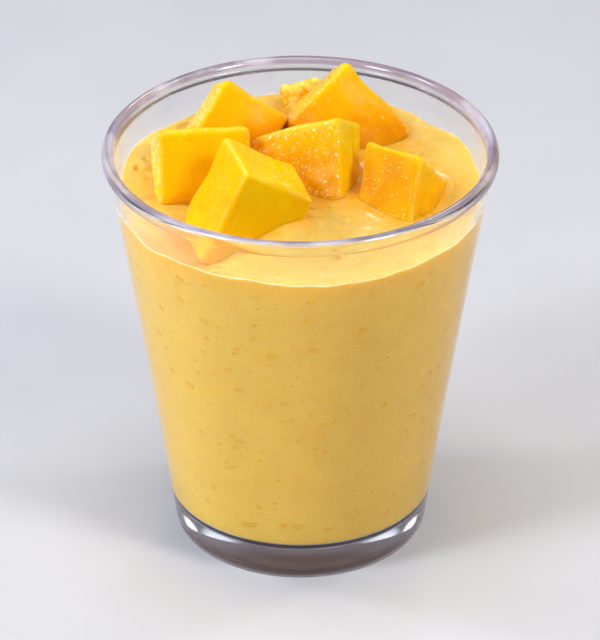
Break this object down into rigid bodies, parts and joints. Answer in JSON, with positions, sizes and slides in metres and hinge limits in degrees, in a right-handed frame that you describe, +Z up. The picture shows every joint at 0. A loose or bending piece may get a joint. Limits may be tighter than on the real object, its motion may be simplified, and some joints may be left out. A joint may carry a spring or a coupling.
{
  "type": "mango mousse in a glass",
  "caption": "Smooth yellow fruit mousse filling a tapered clear drinking glass, topped with cut blocks of ripe mango.",
  "frame": {"origin": "centre of the glass's foot, on the surface it stands on", "axes": "+Z up the glass's axis, -Y towards the front, where the lower side of the mousse is"},
  "size_m": [0.08, 0.08, 0.0945],
  "materials": {
    "clear_glass": "clear polished glass",
    "mousse": "smooth moist mousse, soft sheen",
    "mango_flesh": "wet cut fruit"
  },
  "bodies": {
    "root": {"glass": "clear_glass", "mousse": "mousse", "mango_left": "mango_flesh", "mango_front": "mango_flesh", "mango_middle": "mango_flesh", "mango_right": "mango_flesh", "mango_back_right": "mango_flesh", "mango_back_left": "mango_flesh", "mango_back_small": "mango_flesh"}
  },
  "joints": []
}
